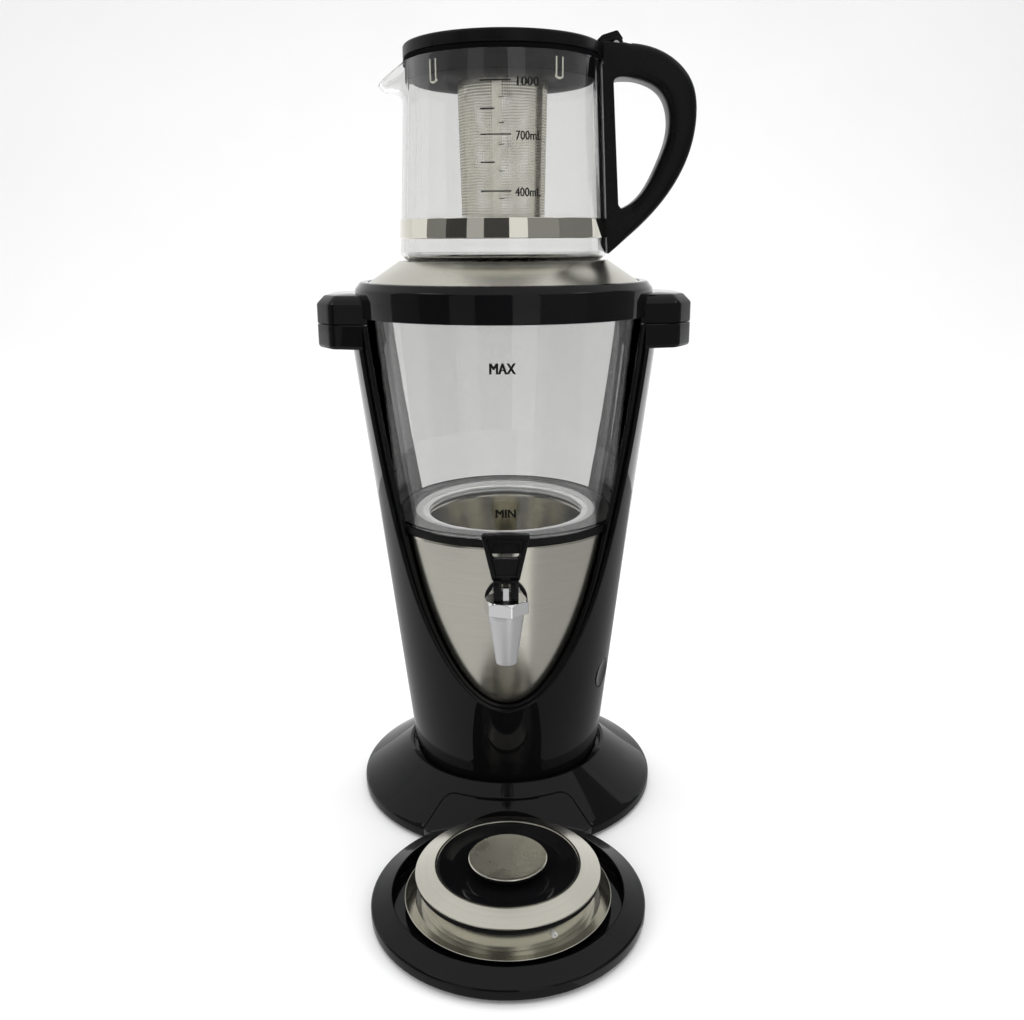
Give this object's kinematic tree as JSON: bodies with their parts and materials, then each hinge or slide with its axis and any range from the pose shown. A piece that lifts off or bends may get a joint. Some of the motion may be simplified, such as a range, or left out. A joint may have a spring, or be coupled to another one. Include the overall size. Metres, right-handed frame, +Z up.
{
  "type": "electric tea maker",
  "caption": "Electric samovar: glass hot-water tank with a lever tap in a black tower, a glass teapot on top, and a round drip tray with the tank's lid in front.",
  "frame": {"origin": "centre of the foot's pads on the table, on the tower's axis", "axes": "+Z up the tower, -Y towards the tap and the drip tray, +X to the right seen from the front, where the teapot's handle is"},
  "size_m": [0.2287, 0.324, 0.4818],
  "materials": {
    "gloss_black": "gloss",
    "satin_black": "satin",
    "brushed_steel": "brushed",
    "polished_steel": "polished",
    "chrome": "polished",
    "satin_chrome": "satin",
    "clear_glass": "polished",
    "silicone": "matte",
    "black_rubber": "matte",
    "white_plastic": "matte",
    "screw_steel": "plain",
    "board_green": "matte",
    "heater_aluminium": "matte",
    "brass": "satin"
  },
  "bodies": {
    "base": {"foot_shell": "gloss_black", "foot_plate": "satin_black", "foot_pads": "black_rubber", "foot_screws": "screw_steel", "tower_screws": "screw_steel", "control_board": "board_green", "housing": "gloss_black", "inner_frame": "gloss_black", "cable_bush": "black_rubber", "top_ring": "gloss_black", "glass_rim_seal": "silicone", "ear_screws": "screw_steel", "pot_stand": "brushed_steel", "glass_tank": "clear_glass", "tank_gasket": "satin_black", "bowl_seal": "silicone", "steel_shell": "brushed_steel", "water_bowl": "polished_steel", "heater_plate": "heater_aluminium", "heating_element": "heater_aluminium", "thermostat": "white_plastic", "thermal_fuse": "white_plastic", "tap_body": "satin_chrome", "tap_gasket": "black_rubber", "tap_washer": "polished_steel", "tap_inner_seal": "silicone", "tap_nut": "brass", "tap_bonnet": "chrome", "tap_spring": "screw_steel", "button_carrier": "satin_black", "power_switch": "white_plastic"},
    "tray_unit": {"tray_base": "gloss_black", "tray_pads": "black_rubber"},
    "drip_dish": {"drip_dish": "brushed_steel"},
    "tank_lid": {"tank_lid_skirt": "brushed_steel", "tank_lid_vent": "silicone", "tank_lid_seal": "black_rubber", "tank_lid_rim": "brushed_steel", "tank_lid_dish": "gloss_black", "tank_lid_knob": "gloss_black", "tank_lid_knob_cap": "polished_steel", "tank_lid_screw": "screw_steel"},
    "teapot": {"teapot_glass": "clear_glass", "teapot_band": "polished_steel", "teapot_handle": "satin_black", "lid_hinge_pin": "screw_steel", "filter_holder": "gloss_black", "filter_basket": "brushed_steel"},
    "teapot_lid": {"teapot_lid": "satin_black", "lid_thumb_piece": "satin_black"},
    "tap_lever": {"tap_lever": "gloss_black", "tap_lever_pin": "screw_steel"},
    "tap_plunger": {"tap_stem": "chrome", "tap_seat": "silicone"},
    "power_button": {"power_button": "gloss_black"}
  },
  "joints": [
    {"name": "tray_slide", "type": "slide", "parent": "base", "child": "tray_unit", "axis": [0, -1, 0], "range_m": [0, 0.08]},
    {"name": "dish_lift", "type": "slide", "parent": "tray_unit", "child": "drip_dish", "axis": [0, 0, 1], "range_m": [0, 0.05]},
    {"name": "tank_lid_lift", "type": "slide", "parent": "drip_dish", "child": "tank_lid", "axis": [0, -0.5, 0.866], "range_m": [0, 0.12]},
    {"name": "teapot_lift", "type": "slide", "parent": "base", "child": "teapot", "axis": [0, 0, 1], "range_m": [0, 0.12]},
    {"name": "teapot_lid_hinge", "type": "hinge", "parent": "teapot", "child": "teapot_lid", "pos_m": [0.066, 0, 0.4743], "axis": [0, 1, 0], "range_deg": [0, 100]},
    {"name": "tap_lever_tip", "type": "hinge", "parent": "base", "child": "tap_lever", "pos_m": [0, -0.102, 0.1673], "axis": [1, 0, 0], "range_deg": [0, 40], "stiffness_Nm_per_rad": 0.02, "springref_deg": -5.73},
    {"name": "tap_stem_lift", "type": "slide", "parent": "base", "child": "tap_plunger", "axis": [0, 0, 1], "range_m": [0, 0.0029], "deforming": ["tap_spring"]},
    {"name": "button_press", "type": "slide", "parent": "base", "child": "power_button", "axis": [-0.8965, 0.4276, 0.1162], "range_m": [0, 0.002], "stiffness_N_per_m": 300}
  ],
  "couplings": [
    {"joint": "tap_stem_lift", "follows": "tap_lever_tip", "m_per_rad": 0.00411}
  ]
}
